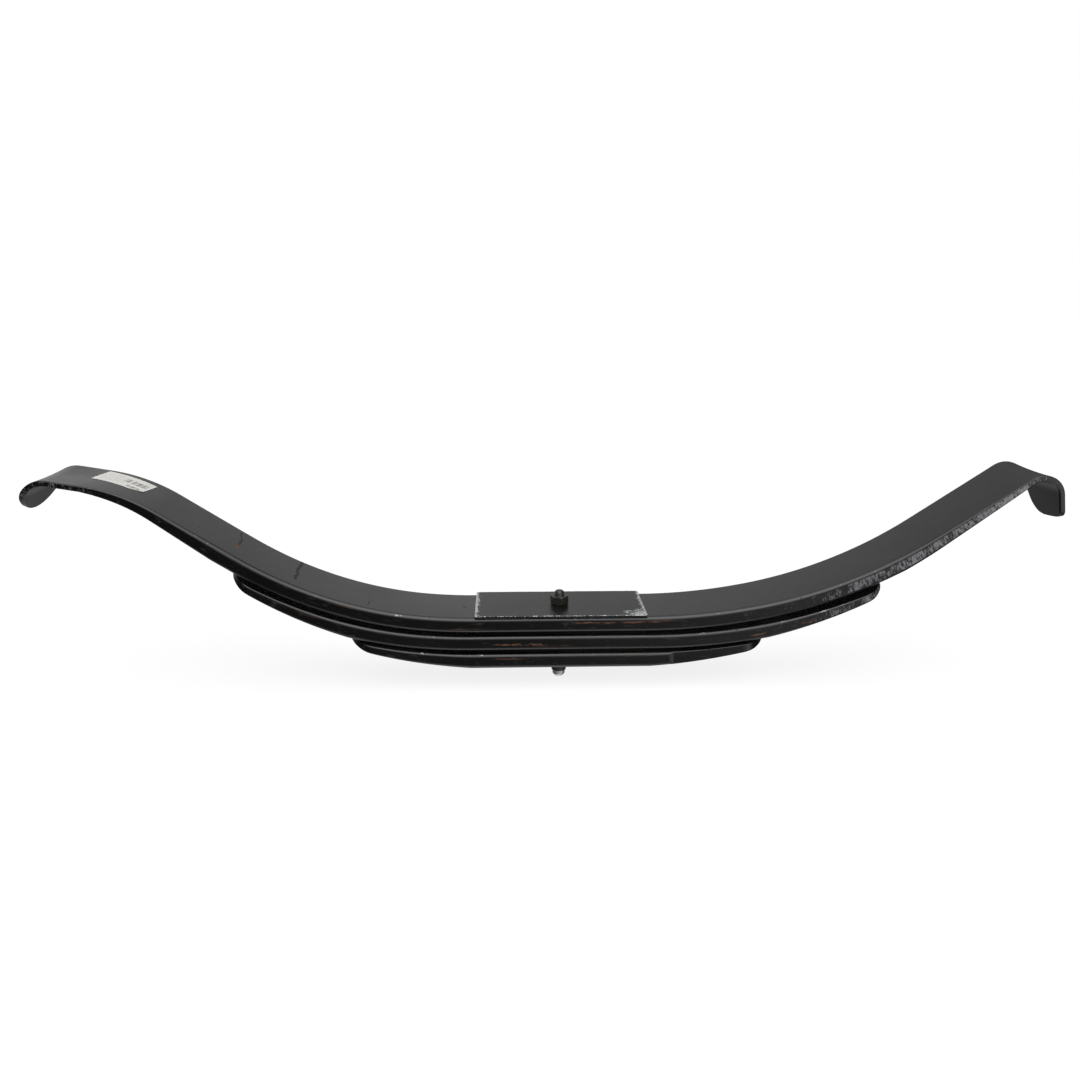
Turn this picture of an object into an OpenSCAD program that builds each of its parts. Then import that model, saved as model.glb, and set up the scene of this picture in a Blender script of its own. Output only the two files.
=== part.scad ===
// Three-leaf taper spring with double hook ends, clamped by one centre bolt.
// Length along X, width along Y, up is +Z. The origin is on the bolt's axis,
// at the underside of the lowest leaf, where the spring sits on its axle.

/* [Leaf stock] */
// Width of every leaf
leaf_w = 76.2; // [50:0.1:120]
// Full thickness of every leaf, at the seat
leaf_t = 16; // [10:0.5:22]
// Length of the flat seat, and of the pad and liners on it
seat_len = 176; // [120:1:240]

/* [Main leaf] */
// Thickness at both hook ends
main_tip_t = 6; // [4:0.5:10]
// Length of each arm that keeps the full thickness
main_full_len = 265; // [150:5:300]

/* [Left arm of the main leaf] */
// Length of the gentle bend beside the seat
left_ease_len = 51; // [20:1:120]
// Turn of the gentle bend, in degrees
left_ease_turn = 5.5; // [0:0.5:12]
// Length of the main upward bend
left_sweep_len = 193; // [120:1:260]
// Turn of the main upward bend, in degrees
left_sweep_turn = 27.3; // [10:0.1:35]
// Length of the straight stretch after it
left_straight = 88; // [40:1:150]
// Length of the bend back towards level
left_level_len = 75; // [40:1:120]
// Turn of the bend back, in degrees
left_level_turn = 24.4; // [0:0.1:34]
// Length of the nearly level crest before the hook
left_crest = 30; // [10:1:60]
// Outside radius of the hook
left_hook_r = 26; // [18:0.5:40]
// Turn of the hook, in degrees
left_hook_turn = 72; // [40:1:110]
// Length of the lip below the hook
left_lip = 19; // [8:1:40]
// How far the lip's middle reaches past its corners
left_lip_round = 19; // [6:1:30]

/* [Right arm of the main leaf] */
// Length of the gentle bend beside the seat
right_ease_len = 119; // [40:1:160]
// Turn of the gentle bend, in degrees
right_ease_turn = 11.2; // [0:0.1:16]
// Length of the main upward bend
right_sweep_len = 189; // [120:1:260]
// Turn of the main upward bend, in degrees
right_sweep_turn = 22.6; // [8:0.1:30]
// Length of the straight stretch before the hook
right_straight = 103; // [40:1:180]
// Outside radius of the hook
right_hook_r = 23.5; // [16:0.5:40]
// Turn of the hook, in degrees
right_hook_turn = 113; // [60:1:125]
// Length of the lip below the hook
right_lip = 27; // [8:1:45]
// How far the lip's middle reaches past its corners
right_lip_round = 5; // [4:1:30]
// Length of the slanting cut at the rear corner of the right lip
right_cut_len = 46; // [20:1:60]
// How far that cut reaches into the width of the lip
right_cut_w = 25; // [6:1:32]

/* [Second leaf] */
// Length of each arm of the second leaf, from the seat to the tip
second_arm_len = 244; // [160:1:300]
// Length of each arm that keeps the full thickness
second_full_len = 120; // [40:5:180]
// Thickness at the tips
second_tip_t = 6.5; // [4:0.5:12]
// Gap to the main leaf at the left tip
second_left_gap = 4.5; // [3:0.1:10]
// Gap to the main leaf at the right tip
second_right_gap = 6.5; // [3:0.1:10]

/* [Third leaf] */
// Length of each arm of the third leaf, from the seat to the tip
third_arm_len = 120; // [80:1:220]
// Length of each arm that keeps the full thickness
third_full_len = 4; // [0:1:60]
// Thickness at the tips
third_tip_t = 6.5; // [4:0.5:12]
// Gap to the second leaf at both tips
third_gap = 2.8; // [2:0.1:8]
// How far the middle of each short leaf's tip reaches past its corners
leaf_tip_round = 19; // [8:1:30]

/* [Pad and liners] */
// Thickness of the pad on top of the seat
pad_t = 2.5; // [1.5:0.5:8]
// Thickness of the liners between the leaves
liner_t = 3.5; // [2:0.5:8]

/* [Centre bolt and nut] */
// Diameter of the centre bolt
bolt_d = 10; // [8:0.5:16]
// Length of the bolt that stands above the nut
bolt_end = 5.3; // [2:0.1:12]
// Width of the nut across its flats
nut_af = 17; // [13:0.5:26]
// Height of the nut
nut_h = 9; // [6:0.5:16]
// Turn of the nut about the bolt, in degrees
nut_turn = 13; // [0:1:59]
// Diameter of the bolt head's collar
collar_d = 15.5; // [12:0.5:26]
// Height of the collar
collar_h = 17; // [6:0.5:24]
// Diameter of the pilot below the collar
pilot_d = 13.2; // [10:0.1:24]
// Height of the pilot
pilot_h = 7; // [3:0.5:14]
// Gap between the bolt and every hole that it passes through
hole_gap = 0.5; // [0.2:0.1:1.5]
// Gap between the bolt and the nut's thread
thread_gap = 0.05; // [0.01:0.01:0.1]

/* [Label] */
// Length of the paper label
label_len = 49; // [20:1:70]
// Width of the paper label
label_w = 34; // [20:1:60]
// Distance from the seat to the label's middle, along the left arm
label_at = 380; // [320:1:390]
// Distance of the label's middle from the middle of the leaf
label_side = 11; // [-15:1:15]
// Turn of the label on the leaf, in degrees
label_turn = 7; // [-15:1:15]

/* [Hidden] */

paint = [0.09, 0.09, 0.1];
bare = [0.62, 0.63, 0.66];
paper = [0.85, 0.85, 0.83];

seat_half = seat_len / 2;
hole_d = bolt_d + 2 * hole_gap;
round_fn = 64;
tip_fn = 96;
bend_step = 3;       // degrees of bend between two points of a leaf's outline
straight_step = 22;  // longest stretch between two points
label_t = 0.25;
label_gap = 0.02;    // keeps the label's underside clear of the leaf
lead = 1.2;          // chamfer at the ends of the bolt and of its pilot
spare = 1;           // how far a cutter runs past what it cuts

// Heights of the stack, from the axle seat upwards
third_z = leaf_t;                        // top of the third leaf
second_z = third_z + liner_t + leaf_t;   // top of the second leaf
main_z = second_z + liner_t + leaf_t;    // top of the main leaf
pad_z = main_z + pad_t;
nut_z = pad_z + nut_h;

// Each arm is a run of [length, turn] along the main leaf's top, from the seat outwards
left_run = [[left_ease_len, left_ease_turn],
            [left_sweep_len, left_sweep_turn],
            [left_straight, 0],
            [left_level_len, -left_level_turn],
            [left_crest, 0],
            [arc_len(left_hook_r, left_hook_turn), -left_hook_turn],
            [left_lip, 0]];
right_run = [[right_ease_len, right_ease_turn],
             [right_sweep_len, right_sweep_turn],
             [right_straight, 0],
             [arc_len(right_hook_r, right_hook_turn), -right_hook_turn],
             [right_lip, 0]];
// The taper of the main leaf ends where its hooked ends begin
left_taper_end = left_ease_len + left_sweep_len + left_straight + left_level_len;
right_taper_end = right_ease_len + right_sweep_len + right_straight;

function arc_len(r, turn) = r * turn * PI / 180;
function turned(p, a) = [p.x * cos(a) - p.y * sin(a), p.x * sin(a) + p.y * cos(a)];
// Where a stretch of length l that turns by t has got to after the share u of it
function along(l, t, u) =
    abs(t) < 0.01 ? [l * u, 0] :
    let (r = l / (t * PI / 180)) [r * sin(t * u), r * (1 - cos(t * u))];
function steps(l, t) = ceil(max(abs(t) / bend_step, l / straight_step, 1));

// Points along a run: [x, z, heading, distance], with x from the seat's edge
function stations(run, k = 0, p = [0, 0], a = 0, s = 0) =
    k == len(run) ? [[p.x, p.y, a, s]] :
    let (l = run[k][0], t = run[k][1], n = steps(l, t))
    concat([for (i = [0 : n - 1])
                let (q = p + turned(along(l, t, i / n), a)) [q.x, q.y, a + t * i / n, s + l * i / n]],
           stations(run, k + 1, p + turned(along(l, t, 1), a), a + t, s + l));
// The first stretches of a run, as far as the distance d
function cut_run(run, d, k = 0) =
    d <= 0 || k == len(run) ? [] :
    run[k][0] >= d ? [[d, run[k][1] * d / run[k][0]]] :
    concat([run[k]], cut_run(run, d - run[k][0], k + 1));
// The part of a list of stations between two distances
function between(st, s0, s1) = [for (q = st) if (q[3] >= s0 && q[3] <= s1) q];

// A value that stays at v0 up to the distance s0, then goes evenly to v1 at s1
function ramp(s, s0, s1, v0, v1) = v0 + (v1 - v0) * min(1, max(0, (s - s0) / (s1 - s0)));
// Depths below the main leaf's top face, at the distance s from the seat
function main_depth(s, taper_end) = ramp(s, main_full_len, taper_end, leaf_t, main_tip_t);
function second_top(s, taper_end, gap) =
    main_depth(s, taper_end) + ramp(s, 0, second_arm_len, liner_t, gap);
function second_depth(s, taper_end, gap) =
    second_top(s, taper_end, gap) + ramp(s, second_full_len, second_arm_len, leaf_t, second_tip_t);
function third_top(s, taper_end, gap) =
    second_depth(s, taper_end, gap) + ramp(s, 0, third_arm_len, liner_t, third_gap);
function third_depth(s, taper_end, gap) =
    third_top(s, taper_end, gap) + ramp(s, third_full_len, third_arm_len, leaf_t, third_tip_t);

// A station's point at the depth d below the top face, on the side 1 (right) or -1 (left)
function below(q, d, side) = [side * (seat_half + q[0] + d * sin(q[2])), main_z + q[1] - d * cos(q[2])];
function flip(list) = [for (i = [len(list) - 1 : -1 : 0]) list[i]];
function last(list) = list[len(list) - 1];

left_main = stations(left_run);
right_main = stations(right_run);
left_end = last(left_main)[3];
right_end = last(right_main)[3];
// The main leaf is drawn in three stretches that meet face to face: its body and its hooks
left_body = between(left_main, 0, left_taper_end);
right_body = between(right_main, 0, right_taper_end);
left_second = stations(cut_run(left_run, second_arm_len));
right_second = stations(cut_run(right_run, second_arm_len));
left_third = stations(cut_run(left_run, third_arm_len));
right_third = stations(cut_run(right_run, third_arm_len));

// A leaf's side outline from its upper and lower points, each listed from left to right
module leaf_plate(upper, lower)
    translate([0, leaf_w / 2, 0])
        rotate([90, 0, 0])
            linear_extrude(leaf_w)
                polygon(concat(upper, flip(lower)));

// Cuts the corners off a tip, and leaves its middle reaching out by the depth
module tip_trim(q, top, bottom, depth, side) {
    half = leaf_w / 2;
    r = (half * half + depth * depth) / (2 * depth);
    thick = bottom - top;
    mid = below(q, (top + bottom) / 2, 1);
    mirror([side < 0 ? 1 : 0, 0, 0])
        translate([mid.x, 0, mid.y])
            rotate([0, -q[2], 0])
                translate([0, 0, -thick])
                    linear_extrude(2 * thick)
                        difference() {
                            translate([-depth, -half - spare])
                                square([depth + spare, leaf_w + 2 * spare]);
                            translate([-r, 0])
                                circle(r = r, $fn = tip_fn);
                        }
}

module bolt_hole()
    translate([0, 0, -spare])
        cylinder(d = hole_d, h = pad_z + 2 * spare, $fn = round_fn);

module main_leaf() {
    color(paint)
        difference() {
            leaf_plate(concat(flip([for (q = left_body) below(q, 0, -1)]),
                              [for (q = right_body) below(q, 0, 1)]),
                       concat(flip([for (q = left_body) below(q, main_depth(q[3], left_taper_end), -1)]),
                              [for (q = right_body) below(q, main_depth(q[3], right_taper_end), 1)]));
            bolt_hole();
        }
}

// One hooked end of the main leaf, from the end of its taper to the lip
module hook(bend, lip_round, side)
    color(paint)
        difference() {
            leaf_plate([for (q = bend) below(q, 0, side)], [for (q = bend) below(q, main_tip_t, side)]);
            tip_trim(last(bend), 0, main_tip_t, lip_round, side);
        }

// Cuts a slanting piece off the rear corner of the right lip, steeper at the very tip
module corner_cut(q, thick, cut_len, cut_w) {
    half = leaf_w / 2;
    tip = below(q, thick / 2, 1);
    translate([tip.x, 0, tip.y])
        rotate([0, -q[2], 0])
            translate([0, 0, -2 * thick])
                linear_extrude(4 * thick)
                    polygon([[-cut_len, half], [-0.15 * cut_len, half - cut_w],
                             [spare, half - 1.4 * cut_w], [spare, half + spare],
                             [-cut_len, half + spare]]);
}

module left_hook() hook(between(left_main, left_taper_end, left_end), left_lip_round, -1);

module right_hook()
    color(paint)
        difference() {
            hook(between(right_main, right_taper_end, right_end), right_lip_round, 1);
            corner_cut(last(right_main), main_tip_t, right_cut_len, right_cut_w);
        }

module second_leaf() {
    l_end = left_taper_end;
    r_end = right_taper_end;
    l_gap = second_left_gap;
    r_gap = second_right_gap;
    color(paint)
        difference() {
            leaf_plate(concat(flip([for (q = left_second) below(q, second_top(q[3], l_end, l_gap), -1)]),
                              [for (q = right_second) below(q, second_top(q[3], r_end, r_gap), 1)]),
                       concat(flip([for (q = left_second) below(q, second_depth(q[3], l_end, l_gap), -1)]),
                              [for (q = right_second) below(q, second_depth(q[3], r_end, r_gap), 1)]));
            bolt_hole();
            tip_trim(last(left_second), second_top(second_arm_len, l_end, l_gap),
                     second_depth(second_arm_len, l_end, l_gap), leaf_tip_round, -1);
            tip_trim(last(right_second), second_top(second_arm_len, r_end, r_gap),
                     second_depth(second_arm_len, r_end, r_gap), leaf_tip_round, 1);
        }
}

module third_leaf() {
    l_end = left_taper_end;
    r_end = right_taper_end;
    l_gap = second_left_gap;
    r_gap = second_right_gap;
    color(paint)
        difference() {
            leaf_plate(concat(flip([for (q = left_third) below(q, third_top(q[3], l_end, l_gap), -1)]),
                              [for (q = right_third) below(q, third_top(q[3], r_end, r_gap), 1)]),
                       concat(flip([for (q = left_third) below(q, third_depth(q[3], l_end, l_gap), -1)]),
                              [for (q = right_third) below(q, third_depth(q[3], r_end, r_gap), 1)]));
            bolt_hole();
            tip_trim(last(left_third), third_top(third_arm_len, l_end, l_gap),
                     third_depth(third_arm_len, l_end, l_gap), leaf_tip_round, -1);
            tip_trim(last(right_third), third_top(third_arm_len, r_end, r_gap),
                     third_depth(third_arm_len, r_end, r_gap), leaf_tip_round, 1);
        }
}

// A flat plate over the seat, with the bolt's hole
module seat_plate(z, t)
    color(paint)
        difference() {
            translate([-seat_half, -leaf_w / 2, z])
                cube([seat_len, leaf_w, t]);
            bolt_hole();
        }

module top_pad() seat_plate(main_z, pad_t);

module upper_liner() seat_plate(second_z, liner_t);

module lower_liner() seat_plate(third_z, liner_t);

// Shank from the seat up, and the tall round head below it
module centre_bolt() {
    top = nut_z + bolt_end;
    color(bare)
        rotate_extrude($fn = round_fn)
            polygon([[0, -collar_h - pilot_h],
                     [pilot_d / 2 - lead, -collar_h - pilot_h],
                     [pilot_d / 2, -collar_h - pilot_h + lead],
                     [pilot_d / 2, -collar_h],
                     [collar_d / 2, -collar_h],
                     [collar_d / 2, 0],
                     [bolt_d / 2, 0],
                     [bolt_d / 2, top - lead],
                     [bolt_d / 2 - lead, top],
                     [0, top]]);
}

// Hexagon nut with both faces chamfered, screwed down on the pad
module centre_nut() {
    corner_r = nut_af / 2 / cos(30);
    drop = (corner_r - nut_af / 2) * tan(30);
    color(paint)
        translate([0, 0, pad_z])
            difference() {
                intersection() {
                    rotate([0, 0, nut_turn - 90])
                        cylinder(r = corner_r, h = nut_h, $fn = 6);
                    rotate_extrude($fn = round_fn)
                        polygon([[0, 0],
                                 [nut_af / 2, 0],
                                 [corner_r + spare, drop + spare * tan(30)],
                                 [corner_r + spare, nut_h - drop - spare * tan(30)],
                                 [nut_af / 2, nut_h],
                                 [0, nut_h]]);
                }
                translate([0, 0, -spare])
                    cylinder(d = bolt_d + 2 * thread_gap, h = nut_h + 2 * spare, $fn = round_fn);
            }
}

// Paper label that follows the top of the left arm
module label() {
    reach = label_len / 2 + label_w / 2 * abs(sin(label_turn)) + straight_step;
    strip = between(left_main, label_at - reach, label_at + reach);
    // the leaf's own points on both sides of the label's middle give its place
    mid = last(between(left_main, 0, label_at));
    color(paper)
        intersection() {
            leaf_plate(flip([for (q = strip) below(q, -label_gap - label_t, -1)]),
                       flip([for (q = strip) below(q, -label_gap, -1)]));
            translate([-seat_half - mid[0] - (label_at - mid[3]) * cos(mid[2]), label_side, 0])
                rotate([0, 0, -label_turn])
                    translate([-label_len / 2, -label_w / 2, 0])
                        cube([label_len, label_w, 2 * main_z + seat_len]);
        }
}

main_leaf();
left_hook();
right_hook();
second_leaf();
third_leaf();
top_pad();
upper_liner();
lower_liner();
centre_bolt();
centre_nut();
label();
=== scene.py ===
import math

import bpy
import bmesh
import numpy as np
from mathutils import Matrix, Vector


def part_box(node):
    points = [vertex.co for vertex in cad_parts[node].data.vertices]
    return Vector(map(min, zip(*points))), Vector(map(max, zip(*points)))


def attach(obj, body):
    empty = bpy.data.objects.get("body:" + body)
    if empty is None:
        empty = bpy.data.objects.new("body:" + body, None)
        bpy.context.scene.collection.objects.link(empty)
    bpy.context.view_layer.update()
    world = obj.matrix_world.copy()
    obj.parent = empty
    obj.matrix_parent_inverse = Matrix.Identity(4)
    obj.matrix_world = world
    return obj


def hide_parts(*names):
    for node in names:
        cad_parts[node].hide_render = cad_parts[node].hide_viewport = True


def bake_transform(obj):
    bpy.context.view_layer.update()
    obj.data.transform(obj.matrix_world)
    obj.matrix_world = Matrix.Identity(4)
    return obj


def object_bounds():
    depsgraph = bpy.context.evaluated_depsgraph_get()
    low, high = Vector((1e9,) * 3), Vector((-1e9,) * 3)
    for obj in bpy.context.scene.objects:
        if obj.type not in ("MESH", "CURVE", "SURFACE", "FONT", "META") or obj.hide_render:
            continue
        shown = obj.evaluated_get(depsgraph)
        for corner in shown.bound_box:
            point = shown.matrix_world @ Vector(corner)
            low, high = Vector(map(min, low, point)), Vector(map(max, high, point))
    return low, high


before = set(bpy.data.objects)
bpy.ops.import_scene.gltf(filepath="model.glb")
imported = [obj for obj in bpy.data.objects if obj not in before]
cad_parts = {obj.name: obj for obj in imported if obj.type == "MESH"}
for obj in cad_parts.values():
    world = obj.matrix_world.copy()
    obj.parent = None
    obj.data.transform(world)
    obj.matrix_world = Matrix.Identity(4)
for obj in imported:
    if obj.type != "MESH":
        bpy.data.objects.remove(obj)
cadBounds = [list(corner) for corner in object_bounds()]
print("frame loaded")

# Places that every piece shares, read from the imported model
padLow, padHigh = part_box("top_pad")
upperLow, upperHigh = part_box("upper_liner")
lowerLow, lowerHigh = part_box("lower_liner")
boltLow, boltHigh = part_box("centre_bolt")
nutLow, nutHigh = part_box("centre_nut")
seatHalf = padHigh.x
halfWidth = padHigh.y
mainTop = padLow.z
fullThick = lowerLow.z

# The bends of the leaves: (length in metres, turn in degrees) from the seat outwards
leafShape = {
    "leftRun": [(0.051, 5.5), (0.193, 27.3), (0.088, 0), (0.075, -24.4), (0.030, 0),
                (0.03267, -72), (0.019, 0)],
    "rightRun": [(0.119, 11.2), (0.189, 22.6), (0.103, 0), (0.04635, -113), (0.027, 0)],
    "leftTaperEnd": 0.407,
    "rightTaperEnd": 0.411,
    "mainFull": 0.265,
    "mainTipThick": 0.006,
    "secondArm": 0.244,
    "secondFull": 0.120,
    "secondTipThick": 0.0065,
    "leftGap": 0.0045,
    "rightGap": 0.0065,
    "thirdArm": 0.120,
    "thirdFull": 0.004,
    "thirdTipThick": 0.0065,
    "thirdGap": 0.0028,
    "leftLipRound": 0.019,
    "rightLipRound": 0.005,
    "rightCutLength": 0.046,
    "rightCutWidth": 0.025,
    "leafTipRound": 0.019,
}
liner = upperHigh.z - upperLow.z


# ---- camera, floor and light ----
cameraSet = {
    "lens": 30.47,
    "azimuth": -2.28,
    "elevation": 16.0,
    "roll": 0.25,
    "distance": 0.942,
    "target": (-0.0206, 0.0, mainTop + 0.0717),
}


def makeCamera(c):
    # back is the unit vector from the target to the camera, from its azimuth and elevation
    a, e, r = (math.radians(c[k]) for k in ("azimuth", "elevation", "roll"))
    back = Vector((math.sin(a) * math.cos(e), -math.cos(a) * math.cos(e), math.sin(e)))
    side = Vector((0, 0, 1)).cross(back).normalized()
    up = back.cross(side)
    right = side * math.cos(r) + up * math.sin(r)
    up = up * math.cos(r) - side * math.sin(r)
    turn = Matrix((right, up, back)).transposed().to_4x4()
    data = bpy.data.cameras.new("camera")
    data.lens = c["lens"]
    data.sensor_width = 36
    data.clip_start = 0.05
    data.clip_end = 60
    camera = bpy.data.objects.new("camera", data)
    camera.matrix_world = Matrix.Translation(Vector(c["target"]) + back * c["distance"]) @ turn
    bpy.context.scene.collection.objects.link(camera)
    bpy.context.scene.camera = camera
    return camera


class Tree:
    # Short ways to add and join nodes in one node tree
    def __init__(self, tree):
        self.tree = tree

    def add(self, kind, values=None, **settings):
        node = self.tree.nodes.new(kind)
        for key, value in settings.items():
            setattr(node, key, value)
        for key, value in (values or {}).items():
            self.set(node.inputs[key], value)
        return node

    def set(self, socket, value):
        if isinstance(value, bpy.types.NodeSocket):
            self.tree.links.new(value, socket)
        else:
            socket.default_value = value

    def math(self, operation, a, b=0.0, c=0.0, clamp=False):
        node = self.add("ShaderNodeMath", {0: a, 1: b, 2: c}, operation=operation, use_clamp=clamp)
        return node.outputs[0]

    def vector(self, operation, a, b=(0, 0, 0)):
        node = self.add("ShaderNodeVectorMath", {0: a, 1: b}, operation=operation)
        return node.outputs["Value" if operation in ("DOT_PRODUCT", "LENGTH", "DISTANCE") else 0]

    def step(self, value, low, high, start=0.0, end=1.0):
        # a smooth step from start to end while value goes from low to high
        node = self.add("ShaderNodeMapRange", {0: value, 1: low, 2: high, 3: start, 4: end},
                        interpolation_type="SMOOTHSTEP")
        return node.outputs[0]

    def mix(self, share, a, b):
        # a where share is 0 and b where it is 1, as colours
        node = self.add("ShaderNodeMix", data_type="RGBA")
        self.set(node.inputs[0], share)
        self.set(node.inputs[6], a)
        self.set(node.inputs[7], b)
        return node.outputs[2]

    def noise(self, place, scale, detail=4.0, rough=0.55):
        node = self.add("ShaderNodeTexNoise", {"Vector": place, "Scale": scale, "Detail": detail,
                                               "Roughness": rough})
        return node.outputs["Fac"]

    def stretch(self, place, factors, shift=(0, 0, 0)):
        return self.add("ShaderNodeMapping", {"Vector": place, "Location": shift,
                                              "Scale": factors}).outputs[0]


stageSet = {
    "floorSize": 14.0,
    "floorColour": (1, 1, 1, 1),
    "floorGlow": 1.0,
    "glowShare": 0.84,
    "ambient": 0.02,
    # direction the light comes from, how narrow it is, and how bright
    "lobes": [
        ((0.0, 0.992, 0.12), 9.0, 0.66),
        ((-0.60, 0.78, 0.18), 9.0, 0.55),
        ((0.0, 0.30, 0.95), 10.0, 1.40),
        ((0.05, -0.52, 0.85), 6.0, 4.2),
        ((0.66, -0.74, -0.13), 14.0, 1.7),
        ((0.0, -0.42, -0.91), 14.0, 1.4),
        ((0.0, 0.25, -1.0), 4.0, 0.85),
    ],
    "keySize": (1.6, 0.7),
    "keyPlace": (0.15, -0.15, 1.35),
    "keyPower": 1.5,
}


def makeStage(c):
    # each lobe adds strength * max(0, direction . axis) ** narrowness to the light from around
    size = c["floorSize"] / 2
    low = cadBounds[0][2]
    mesh = bpy.data.meshes.new("floor")
    mesh.from_pydata([(-size, -size, low), (size, -size, low), (size, size, low), (-size, size, low)],
                     [], [(0, 1, 2, 3)])
    floor = bpy.data.objects.new("floor", mesh)
    bpy.context.scene.collection.objects.link(floor)
    floor.visible_glossy = False
    floor.visible_diffuse = False
    floor.visible_shadow = False
    material = bpy.data.materials.new("floorWhite")
    material.use_nodes = True
    t = Tree(material.node_tree)
    t.tree.nodes.clear()
    matt = t.add("ShaderNodeBsdfDiffuse", {"Color": c["floorColour"]})
    glow = t.add("ShaderNodeEmission", {"Color": c["floorColour"], "Strength": c["floorGlow"]})
    blend = t.add("ShaderNodeMixShader", {0: c["glowShare"], 1: matt.outputs[0], 2: glow.outputs[0]})
    t.add("ShaderNodeOutputMaterial", {"Surface": blend.outputs[0]})
    mesh.materials.append(material)

    world = bpy.data.worlds.new("studio")
    bpy.context.scene.world = world
    world.use_nodes = True
    t = Tree(world.node_tree)
    t.tree.nodes.clear()
    around = t.add("ShaderNodeTexCoord").outputs["Generated"]
    total = c["ambient"]
    for axis, narrow, strength in c["lobes"]:
        facing = t.vector("DOT_PRODUCT", around, tuple(Vector(axis).normalized()))
        lobe = t.math("POWER", t.math("MAXIMUM", facing, 0.0), narrow)
        total = t.math("MULTIPLY_ADD", lobe, strength, total)
    light = t.add("ShaderNodeBackground", {"Color": (1, 1, 1, 1), "Strength": total})
    white = t.add("ShaderNodeBackground", {"Color": (1, 1, 1, 1), "Strength": 1.0})
    seen = t.add("ShaderNodeLightPath").outputs["Is Camera Ray"]
    both = t.add("ShaderNodeMixShader", {0: seen, 1: light.outputs[0], 2: white.outputs[0]})
    t.add("ShaderNodeOutputWorld", {"Surface": both.outputs[0]})

    data = bpy.data.lights.new("overhead", "AREA")
    data.shape = "RECTANGLE"
    data.size, data.size_y = c["keySize"]
    data.energy = c["keyPower"]
    lamp = bpy.data.objects.new("overhead", data)
    lamp.location = c["keyPlace"]
    bpy.context.scene.collection.objects.link(lamp)


camera = makeCamera(cameraSet)
makeStage(stageSet)
bpy.context.scene.view_settings.view_transform = "Standard"
print("camera, floor and light made")


# ---- surfaces ----
def newPiece(name, verts, faces, attributes=None, uv=None):
    # a mesh object at the origin; attributes holds one number a point, uv one pair a point
    mesh = bpy.data.meshes.new(name)
    mesh.from_pydata(verts.tolist(), [], faces)
    for key, values in (attributes or {}).items():
        layer = mesh.attributes.new(key, "FLOAT", "POINT")
        layer.data.foreach_set("value", np.asarray(values, np.float32).ravel())
    if uv is not None:
        corners = np.empty(len(mesh.loops), np.int64)
        mesh.loops.foreach_get("vertex_index", corners)
        layer = mesh.uv_layers.new(name="flat")
        layer.data.foreach_set("uv", uv[corners].astype(np.float32).ravel())
    work = bmesh.new()
    work.from_mesh(mesh)
    bmesh.ops.remove_doubles(work, verts=work.verts, dist=1e-6)
    bmesh.ops.recalc_face_normals(work, faces=work.faces)
    work.to_mesh(mesh)
    work.free()
    mesh.shade_smooth()
    mesh.set_sharp_from_angle(angle=math.radians(50))
    piece = bpy.data.objects.new(name, mesh)
    bpy.context.scene.collection.objects.link(piece)
    return piece


def gridFaces(rows, columns, wrapColumns=False, wrapRows=False):
    # the quads between neighbouring rows and columns of a grid of points numbered row by row
    r = np.arange(rows if wrapRows else rows - 1)
    k = np.arange(columns if wrapColumns else columns - 1)
    a = r[:, None] * columns + k[None, :]
    b = r[:, None] * columns + (k[None, :] + 1) % columns
    c = (r[:, None] + 1) % rows * columns + (k[None, :] + 1) % columns
    d = (r[:, None] + 1) % rows * columns + k[None, :]
    return np.stack([a, b, c, d], -1).reshape(-1, 4).tolist()


def revolve(name, profile, segments, cx=0.0, cy=0.0):
    # the profile's points (radius, height) turned about an upright axis
    angle = np.arange(segments) * 2 * np.pi / segments
    radius, height = np.asarray(profile, float).T
    x = cx + radius[:, None] * np.cos(angle)
    y = cy + radius[:, None] * np.sin(angle)
    z = np.repeat(height[:, None], segments, 1)
    verts = np.stack([x, y, z], -1).reshape(-1, 3)
    return newPiece(name, verts, gridFaces(len(radius), segments, wrapColumns=True))


def fillet(corner, before, after, radius, count=5):
    # points of a round corner between two straight edges of a profile, by a quadratic curve
    c, p, q = (np.asarray(v, float) for v in (corner, before, after))
    start = c + (p - c) / np.linalg.norm(p - c) * radius
    end = c + (q - c) / np.linalg.norm(q - c) * radius
    t = np.linspace(0, 1, count)[:, None]
    return (1 - t) ** 2 * start + 2 * t * (1 - t) * c + t ** 2 * end


def roundedProfile(points, radii):
    # an open outline with its inner corners rounded; a radius of 0 keeps the corner sharp
    rows = [np.array([points[0]], float)]
    for i in range(1, len(points) - 1):
        if radii[i] > 0:
            rows.append(fillet(points[i], points[i - 1], points[i + 1], radii[i]))
        else:
            rows.append(np.array([points[i]], float))
    rows.append(np.array([points[-1]], float))
    return np.concatenate(rows)


# ---- leaves ----
edgeSet = {
    # rounding of the long edges at the full thickness, at the thin ends, and where that starts
    "edgeRadius": 0.0042,
    "thinRadius": 0.0013,
    "thinAt": 0.0075,
    "cornerRadius": 0.0044,
    "rowStep": 0.004,
    # the tip's outline takes this much of the leaf's end, cut into this many rows
    "tipZone": 0.100,
    "tipRows": 90,
    "tipCorner": 0.006,
    "cupHeight": 0.0011,
    "thirdStep": 0.0014,
    "thirdStepAt": 0.024,
}


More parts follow.
